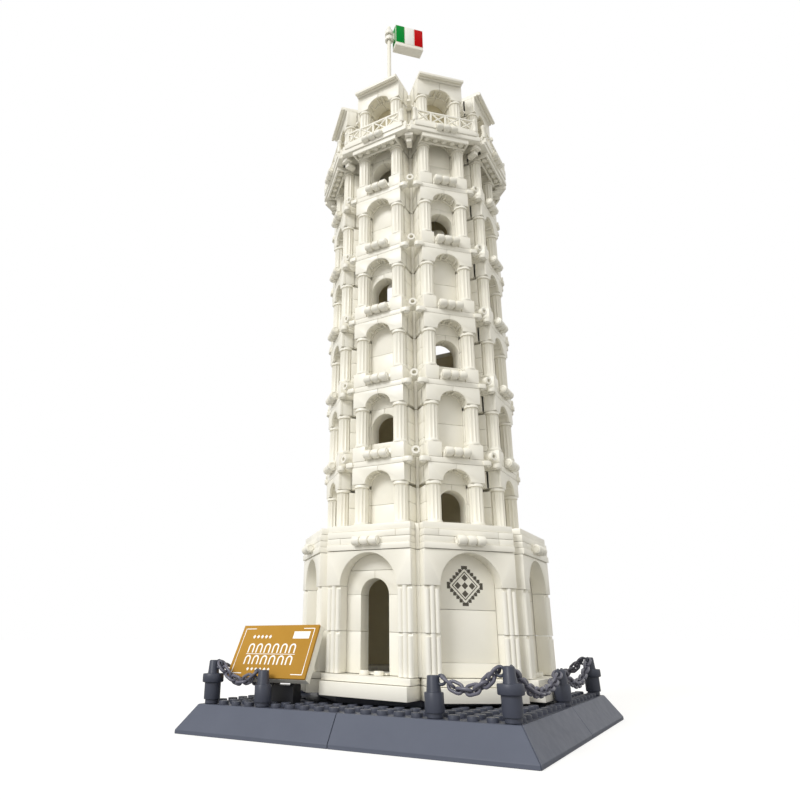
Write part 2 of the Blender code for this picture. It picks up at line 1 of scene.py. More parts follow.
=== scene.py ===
"""Miniature landmark model: a leaning eight-sided tower of plastic bricks on a slate-grey base."""

import math

import bmesh
import bpy
from mathutils import Matrix, Vector


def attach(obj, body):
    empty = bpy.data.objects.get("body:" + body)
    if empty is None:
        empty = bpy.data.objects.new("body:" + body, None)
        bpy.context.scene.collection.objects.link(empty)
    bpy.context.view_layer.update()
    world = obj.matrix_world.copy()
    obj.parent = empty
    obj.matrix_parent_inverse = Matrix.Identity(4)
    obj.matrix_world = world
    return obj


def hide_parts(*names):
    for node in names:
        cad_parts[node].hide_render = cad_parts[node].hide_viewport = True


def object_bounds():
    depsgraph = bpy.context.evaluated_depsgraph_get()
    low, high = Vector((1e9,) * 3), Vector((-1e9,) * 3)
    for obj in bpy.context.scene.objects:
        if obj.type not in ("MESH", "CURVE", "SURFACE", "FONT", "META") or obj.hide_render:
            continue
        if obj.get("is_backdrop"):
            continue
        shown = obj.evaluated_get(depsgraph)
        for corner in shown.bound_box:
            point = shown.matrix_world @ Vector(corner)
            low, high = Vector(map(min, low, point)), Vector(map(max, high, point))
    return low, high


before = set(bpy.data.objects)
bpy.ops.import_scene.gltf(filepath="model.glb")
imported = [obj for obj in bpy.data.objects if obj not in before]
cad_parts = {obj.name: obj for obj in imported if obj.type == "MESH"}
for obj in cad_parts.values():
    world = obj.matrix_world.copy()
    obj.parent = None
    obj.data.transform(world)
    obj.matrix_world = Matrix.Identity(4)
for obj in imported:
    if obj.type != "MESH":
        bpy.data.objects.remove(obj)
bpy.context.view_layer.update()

# All lengths below are in millimetres, in the frame of the CAD nodes.
MM = 0.001
FULL = 2 * math.pi

# Base
STUD = 8.0
STUDS = 20
DECK_HALF = 79.8
DECK_TOP = 12.8
STUD_R = 2.4
STUD_H = 1.7
KEEP_OUT = 70.0
POST_ROW = 76.0
POST_FLANK = 44.0
POST_SIDE = 4.0
BRACKET_X = (-50.0, -35.0)
BRACKET_Y = (-64.0, -57.2)

# Chains
CORNER_HANG = (5.8, 18.0)
PLAIN_HANG = (4.9, 14.2)
SHORT_SAG = 5.2
LONG_SAG = 8.0
LINK_LONG = 7.6
LINK_WIDE = 5.0
WIRE = 0.72
LINK_PITCH = 4.7

# Tower
TOWER_X = 0.2
TOWER_Y = 12.0
LEAN = math.radians(1.64)
PIVOT = 17.0
SIDES = 8
SECTOR = math.radians(22.5)
SEAM = 0.09
SOFT = 0.16
STOREY = 44.8
STOREYS = 6
ARCADE = 97.95
SHELL = 55.5
CORE = 47.4
CORE_BACK = 39.6
GROUND_HALF = 24.0
GROUND_ARCH = 16.0
GROUND_CORE = (50.4, 58.3)
DOOR_HALF = 8.0
DOOR_SPRING = 63.5
PANEL_HALF = 16.0
ARCH_HALF = 8.0
ARCH_RISE = 6.7
COLUMN_TOP = 23.6
DOORWAY_SPRING = 12.4
BELFRY_FLOOR = 355.9
BELFRY_BASE = 363.6
BELFRY_SPRING = 387.2
BELFRY_TOP = 400.1

# Flag
POLE = (-14.0, -10.0)
FLAG_TURN = math.radians(46.0)
FLAG_START = 4.4
FLAG_STRIPE = 8.0
FLAG_HALF = 4.0

# Plaque
PLAQUE_PLACE = (-47.6, -71.2, 25.0)
PLAQUE_TILT = math.radians(28.0)
PLAQUE_HALF = 24.0
PLAQUE_RISE = 27.6


def srgb(red, green, blue):
    """A colour given on the 0-255 screen scale, as scene-linear RGBA."""
    out = []
    for value in (red, green, blue):
        v = value / 255
        out.append(v / 12.92 if v <= 0.04045 else ((v + 0.055) / 1.055) ** 2.4)
    return (*out, 1.0)


# ---------------------------------------------------------------- materials


def plastic(name, light, deep, rough, grain, shine=0.42):
    """Moulded plastic: a slow drift of tone, uneven gloss, fine orange peel and rubbed edges."""
    mat = bpy.data.materials.new(name)
    mat.use_nodes = True
    nodes, links = mat.node_tree.nodes, mat.node_tree.links
    shader = nodes["Principled BSDF"]
    where = nodes.new("ShaderNodeTexCoord")

    drift = nodes.new("ShaderNodeTexNoise")
    drift.inputs["Scale"].default_value = 38.0
    drift.inputs["Detail"].default_value = 5.0
    drift.inputs["Roughness"].default_value = 0.62
    links.new(where.outputs["Object"], drift.inputs["Vector"])
    tone = nodes.new("ShaderNodeValToRGB")
    tone.color_ramp.elements[0].position = 0.30
    tone.color_ramp.elements[0].color = deep
    tone.color_ramp.elements[1].position = 0.66
    tone.color_ramp.elements[1].color = light
    links.new(drift.outputs["Fac"], tone.inputs["Fac"])

    edge = nodes.new("ShaderNodeNewGeometry")
    rubbed = nodes.new("ShaderNodeMapRange")
    rubbed.inputs["From Min"].default_value = 0.52
    rubbed.inputs["From Max"].default_value = 0.66
    rubbed.inputs["To Max"].default_value = 0.35
    links.new(edge.outputs["Pointiness"], rubbed.inputs["Value"])
    worn = nodes.new("ShaderNodeMix")
    worn.data_type = "RGBA"
    paler = [min(1.0, c * 1.25 + 0.015) for c in light[:3]]
    worn.inputs["B"].default_value = (*paler, 1.0)
    links.new(rubbed.outputs["Result"], worn.inputs["Factor"])
    links.new(tone.outputs["Color"], worn.inputs["A"])
    links.new(worn.outputs["Result"], shader.inputs["Base Color"])

    smear = nodes.new("ShaderNodeTexNoise")
    smear.inputs["Scale"].default_value = 210.0
    smear.inputs["Detail"].default_value = 4.0
    smear.inputs["Distortion"].default_value = 0.8
    links.new(where.outputs["Object"], smear.inputs["Vector"])
    gloss = nodes.new("ShaderNodeMapRange")
    gloss.inputs["From Min"].default_value = 0.3
    gloss.inputs["From Max"].default_value = 0.7
    gloss.inputs["To Min"].default_value = rough - 0.04
    gloss.inputs["To Max"].default_value = rough + 0.05
    links.new(smear.outputs["Fac"], gloss.inputs["Value"])
    links.new(gloss.outputs["Result"], shader.inputs["Roughness"])

    peel = nodes.new("ShaderNodeTexNoise")
    peel.inputs["Scale"].default_value = 1500.0
    peel.inputs["Detail"].default_value = 3.0
    links.new(where.outputs["Object"], peel.inputs["Vector"])
    bump = nodes.new("ShaderNodeBump")
    bump.inputs["Strength"].default_value = grain
    bump.inputs["Distance"].default_value = 0.00006
    links.new(peel.outputs["Fac"], bump.inputs["Height"])
    links.new(bump.outputs["Normal"], shader.inputs["Normal"])
    shader.inputs["IOR"].default_value = 1.5
    shader.inputs["Specular IOR Level"].default_value = shine
    return mat


IVORY = plastic("ivory_plastic", srgb(246, 243, 231), srgb(241, 237, 223), 0.36, 0.10)
# A darker tan ivory for the walls' inner skins and the niche's back: painted shade, the inside being the
# same ivory as the outside.
PAINTED_SHADE = plastic("ivory_painted_shade", srgb(222, 213, 184), srgb(212, 202, 172), 0.46, 0.12)
SLATE = plastic("slate_plastic", srgb(66, 70, 84), srgb(59, 63, 76), 0.42, 0.16)
SLOPE = plastic("border_plastic", srgb(93, 98, 112), srgb(88, 93, 107), 0.44, 0.12, 0.2)
GREY = plastic("chain_plastic", srgb(104, 104, 117), srgb(90, 90, 103), 0.24, 0.10)
BLACK = plastic("black_plastic", srgb(42, 43, 47), srgb(34, 35, 39), 0.34, 0.14)
INLAY = plastic("inlay_print", srgb(86, 82, 72), srgb(76, 72, 62), 0.40, 0.08)
GOLD = plastic("gold_print", srgb(178, 134, 54), srgb(170, 126, 48), 0.5, 0.08, 0.06)
WHITE = plastic("white_print", srgb(250, 249, 244), srgb(244, 243, 236), 0.36, 0.06, 0.3)
GREEN = plastic("green_plastic", srgb(0, 144, 55), srgb(0, 134, 49), 0.34, 0.10, 0.03)
RED = plastic("red_plastic", srgb(192, 6, 12), srgb(184, 4, 9), 0.34, 0.10, 0.03)


# ---------------------------------------------------------------- mesh kit


def ring(radius, z, steps, centre=(0.0, 0.0)):
    """Points round a level circle."""
    return [
        (
            centre[0] + radius * math.cos(FULL * i / steps),
            centre[1] + radius * math.sin(FULL * i / steps),
            z,
        )
        for i in range(steps)
    ]


class Kit:
    """Closed shapes gathered into one mesh.

    x runs along a wall, a is the distance out from the tower's axis, and z is the height.
    """

    def __init__(self):
        self.crisp = bmesh.new()
        self.round = bmesh.new()

    def loft(self, loops, finish=0, smooth=False):
        shape = self.round if smooth else self.crisp
        rings = [[shape.verts.new(p) for p in loop] for loop in loops]
        faces = [shape.faces.new(rings[0][::-1]), shape.faces.new(rings[-1])]
        size = len(rings[0])
        for low, high in zip(rings, rings[1:]):
            for i in range(size):
                j = (i + 1) % size
                side = shape.faces.new((low[i], low[j], high[j], high[i]))
                side.smooth = smooth
                faces.append(side)
        for face in faces:
            face.material_index = finish
        return self

    def wall(self, outline, near, far, finish=0):
        """An upright shape: points (x, z), between two distances from the axis."""
        loops = [[(x, -a, z) for x, z in outline] for a in (near, far)]
        return self.loft(loops, finish)

    def slab(self, outline, low, high, finish=0):
        """A level shape: points (x, a), between two heights."""
        loops = [[(x, -a, z) for x, a in outline] for z in (low, high)]
        return self.loft(loops, finish)

    def bar(self, outline, left, right, finish=0):
        """A shape with one section along the wall: points (a, z)."""
        loops = [[(x, -a, z) for a, z in outline] for x in (left, right)]
        return self.loft(loops, finish)

    def block(self, xs, spread, zs, finish=0):
        corners = [(xs[0], zs[0]), (xs[1], zs[0]), (xs[1], zs[1]), (xs[0], zs[1])]
        return self.wall(corners, spread[0], spread[1], finish)

    def turned(self, profile, x, a, steps=28, finish=0):
        """A round upright piece: points (radius, height)."""
        loops = [ring(r, z, steps, (x, -a)) for r, z in profile]
        return self.loft(loops, finish, smooth=True)

    def barrel(self, profile, x, a, z, steps=20, finish=0):
        """A round piece lying along the wall: points (radius, x)."""
        loops = [[(x + t, -a + p, z + q) for p, q, _ in ring(r, 0, steps)] for r, t in profile]
        return self.loft(loops, finish, smooth=True)

    def fluted(self, x, a, radius, low, high, flutes=12, depth=0.6):
        """A column shaft with rounded channels all round it."""
        fall = (0.0, 0.62, 1.0, 0.62)
        steps = flutes * len(fall)
        cut = [depth * fall[i % len(fall)] for i in range(steps)]
        ends = ((low, 1.0), (low + 0.7, 0.0), (high - 0.7, 0.0), (high, 1.0))
        loops = []
        for z, filled in ends:
            loops.append(
                [
                    (
                        x + (radius - cut[i] * (1 - filled)) * math.cos(FULL * i / steps),
                        -a + (radius - cut[i] * (1 - filled)) * math.sin(FULL * i / steps),
                        z,
                    )
                    for i in range(steps)
                ]
            )
        return self.loft(loops, smooth=True)

    def tube(self, path, radius, around=8, finish=0, smooth=True):
        """A closed loop of round wire through the points of path."""
        shape = self.round
        count = len(path)
        points = [Vector(p) for p in path]
        middle = sum(points, Vector()) / count
        rings = []
        for i, point in enumerate(points):
            along = (points[(i + 1) % count] - points[i - 1]).normalized()
            out = point - middle
            out = (out - along * out.dot(along)).normalized()
            side = along.cross(out)
            rings.append(
                [
                    shape.verts.new(
                        point
                        + out * radius * math.cos(FULL * k / around)
                        + side * radius * math.sin(FULL * k / around)
                    )
                    for k in range(around)
                ]
            )
        for i in range(count):
            here, there = rings[i], rings[(i + 1) % count]
            for k in range(around):
                n = (k + 1) % around
                face = shape.faces.new((here[k], here[n], there[n], there[k]))
                face.smooth = smooth
                face.material_index = finish
        return self

    def mesh(self, soft=SOFT):
        """One mesh with the crisp shapes' edges rounded off."""
        shape = self.crisp
        bmesh.ops.recalc_face_normals(shape, faces=shape.faces)
        if soft:
            sharp = [e for e in shape.edges if e.calc_face_angle(0.0) > math.radians(38)]
            made = bmesh.ops.bevel(
                shape,
                geom=sharp,
                offset=soft,
                offset_type="OFFSET",
                segments=2,
                profile=0.5,
                affect="EDGES",
                clamp_overlap=False,
            )
            for face in made["faces"]:
                face.smooth = True
        bmesh.ops.recalc_face_normals(self.round, faces=self.round.faces)
        spare = bpy.data.meshes.new("spare")
        self.round.to_mesh(spare)
        shape.from_mesh(spare)
        bpy.data.meshes.remove(spare)
        mesh = bpy.data.meshes.new("kit")
        shape.to_mesh(mesh)
        self.crisp.free()
        self.round.free()
        mesh.set_sharp_from_angle(angle=math.radians(42))
        return mesh


def angles(start, end, steps):
    """Evenly spaced angles, both ends included."""
    return [start + (end - start) * i / steps for i in range(steps + 1)]


def half_arch(width, half, low, spring, rise, top, steps=9):
    """Half of an arch brick, from its middle seam out to -width."""
    curve = [
        (-half * math.cos(t), spring + rise * math.sin(t))
        for t in angles(0, math.pi / 2, steps)
    ]
    curve[-1] = (-SEAM, spring + rise)
    foot = [(-half, low)] if spring > low else []
    return [(-width, low), *foot, *curve, (-SEAM, top), (-width, top)]


def whole_arch(width, half, low, spring, rise, top, steps=9):
    """An arch brick in one piece."""
    left = half_arch(width, half, low, spring, rise, top, steps)[:-2]
    left[-1] = (0.0, spring + rise)
    return [*left, *flipped(left)[1:], (width, top), (-width, top)]


def flipped(outline):
    """The same outline on the other side of the middle."""
    return [(-x, z) for x, z in reversed(outline)]


def both(x0, x1):
    """The same stretch on the left and on the right."""
    return ((-x1, -x0), (x0, x1))


def join(parts):
    """One bmesh of (mesh, matrix) pairs."""
    shape = bmesh.new()
    for mesh, place in parts:
        start = len(shape.verts)
        shape.from_mesh(mesh)
        shape.verts.ensure_lookup_table()
        bmesh.ops.transform(shape, matrix=place, verts=shape.verts[start:])
    return shape


def piece(name, parts, finishes, body, nodes):
    """An object in metres that rides on a body in place of its CAD nodes."""
    shape = join(parts)
    bmesh.ops.transform(shape, matrix=Matrix.Scale(MM, 4), verts=shape.verts)
    mesh = bpy.data.meshes.new(name)
    shape.to_mesh(mesh)
    shape.free()
    for finish in finishes:
        mesh.materials.append(finish)
    made = bpy.data.objects.new(name, mesh)
    bpy.context.scene.collection.objects.link(made)
    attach(made, body)
    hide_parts(*nodes)
    return made


HERE = Matrix.Identity(4)


# ---------------------------------------------------------------- tower frame

TOWER = (
    Matrix.Translation((TOWER_X, TOWER_Y, PIVOT))
    @ Matrix.Rotation(LEAN, 4, "Y")
    @ Matrix.Translation((0, 0, -PIVOT))
)


def side_place(index, lift=0.0):
    """Where one of the eight sides stands, leaning with the tower."""
    turn = Matrix.Rotation(2 * SECTOR * index, 4, "Z")
    return TOWER @ turn @ Matrix.Translation((0, 0, lift))


def corner_ring(kit, reach, z, finish=0):
    """The eye of a hinge in the notch to the right of a wall, facing outwards, on its two short arms."""
    out = Vector((math.sin(SECTOR), -math.cos(SECTOR), 0))
    across = Vector((math.cos(SECTOR), math.sin(SECTOR), 0))
    up = Vector((0, 0, 1))
    steps = 20
    section = ((2.2, -1.5), (2.35, -1.1), (2.35, 1.1), (2.2, 1.5), (1.2, 1.5), (1.05, 1.1))
    section += ((1.05, -1.1), (1.2, -1.5))
    rings = []
    for i in range(steps):
        t = FULL * i / steps
        spoke = across * math.cos(t) + up * math.sin(t)
        rings.append(
            [
                kit.round.verts.new(out * (reach + d) + spoke * r + up * z)
                for r, d in section
            ]
        )
    for i in range(steps):
        here, there = rings[i], rings[(i + 1) % steps]
        for k in range(len(section)):
            n = (k + 1) % len(section)
            face = kit.round.faces.new((here[k], here[n], there[n], there[k]))
            face.material_index = finish
            face.smooth = True
    stem = [
        tuple(out * (reach + d) + across * s + up * (z - 2.2))
        for d, s in ((-6.5, -2.0), (-1.0, -2.0), (-1.0, 2.0), (-6.5, 2.0))
    ]
    top = [(x, y, h + 3.6) for x, y, h in stem]
    kit.loft([stem, top], finish)


KNUCKLE = ((1.7, -2.15), (2.2, -2.05), (2.45, -1.65), (2.45, 1.65), (2.2, 2.05), (1.7, 2.15))
PIN = ((0.9, 0.25), (1.35, 0.25), (1.55, 0.0))


def fingers(kit, root, axis, z, size=1.0, pitch=5.0):
    """Three rounded hinge fingers on a thinner pin with hollow ends, and the plate that they grow from."""
    for x in (-pitch, 0.0, pitch):
        kit.barrel([(r * size, t) for r, t in KNUCKLE], x, axis, z)
        arm = [(root, z - 2.4), (axis - 0.4, z - 2.3 * size), (axis - 0.4, z + 1.0), (root, z + 0.6)]
        kit.bar(arm, x - 1.7, x + 1.7)
    reach = pitch + 2.55
    ends = [(r * size, t - reach) for r, t in PIN]
    kit.barrel([*ends, *[(r, -t) for r, t in reversed(ends)]], 0.0, axis, z)
    kit.block((-pitch - 2.4, pitch + 2.4), (root, axis - 2.6), (z - 2.9, z - 0.4))


# ---------------------------------------------------------------- ground storey


def plinth_mesh(face, half, low, high):
    """One side of a plinth, with a V notch to each neighbour."""
    kit = Kit()
    inner = 38.0
    notch = 62.6
    gap = 0.1
    outline = [
        (-half, face),
        (half, face),
        (notch * math.sin(SECTOR) - gap, notch * math.cos(SECTOR)),
        (inner * math.tan(SECTOR) - gap, inner),
        (-inner * math.tan(SECTOR) + gap, inner),
        (-notch * math.sin(SECTOR) + gap, notch * math.cos(SECTOR)),
    ]
    kit.slab(outline, low, high)
    return kit


def ribs(kit, xs, face, low, high):
    """Half-round reeds on a pilaster, the outer two stopping short of the arch brick."""
    left, right = xs
    middle = (left + right) / 2
    short = high - 1.5
    for x, r, top in ((left + 1.45, 1.25, short), (middle, 1.35, high), (right - 1.45, 1.25, short)):
        section = [(x - r * math.cos(t), face + r * math.sin(t)) for t in angles(0, math.pi, 8)]
        section = [(x - r, face - 0.5), *section, (x + r, face - 0.5)]
        loops = [[(px, -pa, z) for px, pa in section] for z in (low, top)]
        kit.loft(loops, smooth=True)


def ground_mesh(has_door):
    """One side of the ground storey: pilasters and an arch in front of a door or of a blind field."""
    kit = Kit()
    low, band, spring, top = 26.7, 46.0, 67.5, 84.5
    shell = (58.5, 66.4)
    core_side = 65.0
    for xs in both(GROUND_ARCH, GROUND_HALF):
        for z0, z1 in ((low, band - SEAM), (band + SEAM, spring - 0.15)):
            kit.block(xs, (shell[0], core_side), (z0, z1))
            ribs(kit, xs, core_side - 0.05, z0, z1)
    front = whole_arch(GROUND_HALF, GROUND_ARCH, spring, spring, GROUND_ARCH, top, 14)
    kit.wall(front, *shell)
    core = GROUND_CORE
    back = core[0]
    lining_half = 20.4
    if has_door:
        lintel = 75.4
        for xs in both(DOOR_HALF, 19.8):
            kit.block(xs, core, (low, band - SEAM))
            kit.block(xs, core, (band + SEAM, DOOR_SPRING - SEAM))
        left = half_arch(19.8, DOOR_HALF, DOOR_SPRING, DOOR_SPRING, DOOR_HALF, lintel - SEAM)
        kit.wall(left, *core)
        kit.wall(flipped(left), *core)
        kit.block((-19.8, 19.8), core, (lintel + SEAM, top))
        lining(kit, back, low, top, (8.1, DOOR_SPRING, DOOR_HALF), lining_half)
        kit.block((-7.6, 7.6), (46.0, 60.0), (low, low + 0.8))
        for x in (-4.0, 4.0):
            kit.turned(((2.3, low - 0.2), (2.4, low), (2.4, low + 1.5), (2.25, low + 1.8)), x, 61.6)
    else:
        field = (-15.85, 15.85)
        foot, seam = 33.1, 57.0
        kit.block(field, (back, 59.4), (low, foot))
        kit.block(field, (back, 58.6), (foot + SEAM, seam - SEAM))
        kit.block(field, (back, 58.6), (seam + SEAM, top))
        for xs in both(GROUND_ARCH, 19.8):
            kit.block(xs, core, (low, top))
        lining(kit, back, low, top, None, lining_half)
    ledge(kit, has_door)
    return kit


def lining(kit, face, low, high, opening, half):
    """A thin inner skin of a wall, round its opening if it has one, in the darker tan ivory: painted shade.
    """
    near, far = face - 0.5, face - 0.02
    if opening is None:
        kit.block((-half, half), (near, far), (low, high), 2)
        return
    gap, spring, rise = opening
    left = half_arch(half, gap, low, spring, rise, high)
    kit.wall(left, near, far, 2)
    kit.wall(flipped(left), near, far, 2)


def ledge(kit, even):
    """The cornice over the ground storey: four courses of plates, and a hinge in the middle."""
    for z0, z1 in ((26.8, 45.9), (46.0, 67.4), (67.5, 84.4), (84.8, 97.5)):
        corner_post(kit, 62.4, z0, z1, 1.9, 2.7)
    half = GROUND_HALF
    kit.block((-half, half), (58.5, 67.2), (84.75, 87.7))
    lower = (-half, -2 * STUD, STUD, half) if even else (-half, -STUD, 2 * STUD, half)
    upper = (-half, 2 * STUD, half) if even else (-half, -2 * STUD, 2 * STUD, half)
    for cuts, z0, z1 in ((lower, 87.7, 90.95), (upper, 90.95, 94.3)):
        for x0, x1 in zip(cuts, cuts[1:]):
            kit.block((x0 + SEAM, x1 - SEAM), (58.5, 66.7), (z0 + SEAM, z1 - SEAM))
    back = CORE_BACK * math.tan(SECTOR) - 0.1
    outline = [(-23.9, 66.0), (23.9, 66.0), (back + 7.4, 57.6), (back, CORE_BACK)]
    outline += [(-back, CORE_BACK), (-back - 7.4, 57.6)]
    kit.slab(outline, 94.4, 97.6)
    fingers(kit, 66.2, 68.75, 89.0)


def inlay(kit, z, face):
    """A plain lozenge inlay: nested lozenges, a stepped rim of small squares and a chequered middle."""
    thick = (face - 0.4, face + 0.05)
    finish = 1

    def lozenge(outer, inner):
        for side in range(4):
            t0, t1 = FULL * side / 4, FULL * (side + 1) / 4
            corners = [
                (math.cos(t0) * outer, z + math.sin(t0) * outer),
                (math.cos(t1) * outer, z + math.sin(t1) * outer),
                (math.cos(t1) * inner, z + math.sin(t1) * inner),
                (math.cos(t0) * inner, z + math.sin(t0) * inner),
            ]
            kit.wall(corners, *thick, finish)

    lozenge(8.9, 8.35)
    lozenge(6.9, 6.35)
    steps = 6
    for side in range(4):
        t0, t1 = FULL * side / 4, FULL * (side + 1) / 4
        for i in range(steps):
            f = (i + 0.5) / steps
            x = 9.5 * (math.cos(t0) * (1 - f) + math.cos(t1) * f)
            h = 9.5 * (math.sin(t0) * (1 - f) + math.sin(t1) * f)
            half = 0.8
            kit.block((x - half, x + half), thick, (z + h - half, z + h + half), finish)
    cell, spread = 1.72, 1.1
    for i in range(-1, 2):
        for j in range(-1, 2):
            if (i + j) % 2 == 0:
                x, h = (i - j) * cell * spread, (i + j) * cell * spread
                tile = [(x - cell, z + h), (x, z + h - cell), (x + cell, z + h), (x, z + h + cell)]
                kit.wall(tile, *thick, finish)


# ---------------------------------------------------------------- arcades


def columns(kit, low, high, at=12.0, axis=51.5, radius=3.75):
    """The two columns in front of a wall, with their bases and capitals."""
    for x in (-at, at):
        kit.turned(((4.0, low), (4.15, low + 0.2), (4.15, low + 1.3), (3.9, low + 1.6)), x, axis)
        kit.fluted(x, axis, radius, low + 1.6, high - 2.3)
        capital = ((3.3, 2.3), (3.3, 1.75), (4.15, 1.6), (4.2, 0.35), (4.0, 0.1))
        kit.turned([(r, high - drop) for r, drop in capital], x, axis)


def arch_bricks(kit, low, top, near, far, rise=ARCH_RISE):
    """A pair of arch bricks: a thin face, and a hollow vault behind it with two ribs under its crown."""
    face = half_arch(PANEL_HALF, ARCH_HALF, low, low, rise, top)
    vault = half_arch(PANEL_HALF, ARCH_HALF + 0.6, low, low, rise + 1.3, top)
    depth = far - 1.7
    for outline, a0, a1 in ((face, depth, far), (vault, near, depth)):
        kit.wall(outline, a0, a1)
        kit.wall(flipped(outline), a0, a1)
    kit.wall(face, near, near + 1.2)
    kit.wall(flipped(face), near, near + 1.2)
    for x in (-1.9, 1.9):
        kit.block((x - 0.55, x + 0.55), (near + 1.2, depth), (low + rise - 0.1, low + rise + 1.6))
    for t in (0.62, math.pi - 0.62):
        x, z = -8.3 * math.cos(t), low + (rise + 0.6) * math.sin(t)
        kit.block((x - 0.5, x + 0.5), (near + 1.2, depth), (z - 0.7, z + 1.2))


def corner_post(kit, reach, low, high, wide=1.5, deep=2.4):
    """A narrow upright strip that closes the notch between two walls."""
    out = Vector((math.sin(SECTOR), -math.cos(SECTOR), 0))
    across = Vector((math.cos(SECTOR), math.sin(SECTOR), 0))
    corners = ((0, -wide / 2), (deep, -wide / 2), (deep, wide / 2), (0, wide / 2))
    loops = [
        [tuple(out * (reach + d) + across * w + Vector((0, 0, z))) for d, w in corners]
        for z in (low, high)
    ]
    kit.loft(loops)


def storey_mesh(is_open, last, first):
    """One storey of a wall, from its floor at height 0."""
    kit = Kit()
    spandrel_top = 33.2
    rows = (0.0, 3.4, 13.0, COLUMN_TOP, spandrel_top, STOREY)
    wall_top = 31.2 if last else STOREY
    for low, high in zip(rows, rows[1:]):
        high = min(high, wall_top)
        if high - low < 1.0:
            continue
        for xs in both(8.5, PANEL_HALF):
            outer = 48.9 if high < 23.7 else CORE
            z1 = high - 1.7 if 23.0 < high < 24.0 else high
            kit.block(xs, (CORE_BACK, outer), (low + SEAM, z1 - SEAM))
    if is_open:
        kit.block((-8.4, 8.4), (CORE_BACK, CORE), (0.0, 3.2))
        left = half_arch(8.4, 7.9, 3.3, DOORWAY_SPRING, 8.0, COLUMN_TOP)
        kit.wall(left, CORE_BACK, CORE)
        kit.wall(flipped(left), CORE_BACK, CORE)
        kit.block((-8.4, 8.4), (CORE_BACK, CORE), (COLUMN_TOP + SEAM, wall_top))
    else:
        kit.block((-8.4, 8.4), (CORE_BACK, CORE), (0.0, 13.0 - SEAM))
        kit.block((-8.4, 8.4), (CORE_BACK, CORE), (13.0 + SEAM, wall_top))
    opening = (8.0, DOORWAY_SPRING, 8.0) if is_open else None
    lining(kit, CORE_BACK, 0.05, wall_top, opening, 16.1)
    for z0, z1 in ((0.0, 22.3), (22.4, wall_top)):
        corner_post(kit, 41.6, z0 + SEAM, z1 - SEAM, 1.7, 2.6)
    if first:
        kit.block((-PANEL_HALF, PANEL_HALF), (CORE, 56.2), (-0.3, 1.2))
        columns(kit, 1.2, 23.5)
    else:
        columns(kit, 0.05, 23.5)
    arch_bricks(kit, COLUMN_TOP, min(33.1, wall_top), CORE, SHELL)
    if not last:
        kit.block((-PANEL_HALF, PANEL_HALF), (CORE, SHELL), (spandrel_top + SEAM, 36.3))
        for xs in both(ARCH_HALF, PANEL_HALF):
            kit.block(xs, (CORE, SHELL), (36.4 + SEAM, 44.75))
        hinges(kit, 33.5, 36.1)
        fingers(kit, 48.0, 57.6, 39.2)
        corner_ring(kit, 57.6, 39.4)
    return kit


def hinges(kit, low, high):
    """The hinge plates' rounded ends at the two edges of a wall."""
    for side in (-1, 1):
        x, a, r = 18.4, 54.3, 2.2
        arc = [(side * (x + r * math.sin(t)), a - r * math.cos(t)) for t in angles(0, math.pi, 8)]
        outline = [(side * 15.5, 52.1), *arc, (side * 15.5, 56.5)]
        kit.slab(outline, low, high)
        kit.turned(((1.25, low - 0.6), (1.45, low - 0.4), (1.45, low + 0.4)), side * x, a, 16)


# ---------------------------------------------------------------- belfry


def lattice(kit, xs, near, far, low, high, bays, bar):
    """A thin railing of crossed bars between two rails."""
    kit.block(xs, (near, far), (low, low + bar))
    kit.block(xs, (near, far), (high - bar, high))
    for i in range(bays + 1):
        x = xs[0] + (xs[1] - xs[0]) * i / bays
        x = min(max(x, xs[0] + bar / 2), xs[1] - bar / 2)
        kit.block((x - bar / 2, x + bar / 2), (near + 0.1, far - 0.1), (low + bar / 2, high - bar / 2))
    thin = bar * 0.36
    for i in range(bays):
        x0 = xs[0] + (xs[1] - xs[0]) * i / bays + bar * 0.4
        x1 = xs[0] + (xs[1] - xs[0]) * (i + 1) / bays - bar * 0.4
        z0, z1 = low + bar * 0.7, high - bar * 0.7
        run = Vector((x1 - x0, z1 - z0)).normalized()
        for start, way in (((x0, z0), (run.x, run.y)), ((x1, z0), (-run.x, run.y))):
            span = math.hypot(x1 - x0, z1 - z0)
            end = (start[0] + way[0] * span, start[1] + way[1] * span)
            nx, nz = -way[1] * thin, way[0] * thin
            strip = [(start[0] + nx, start[1] + nz), (start[0] - nx, start[1] - nz)]
            strip += [(end[0] - nx, end[1] - nz), (end[0] + nx, end[1] + nz)]
            kit.wall(strip, near + 0.25, far - 0.25)


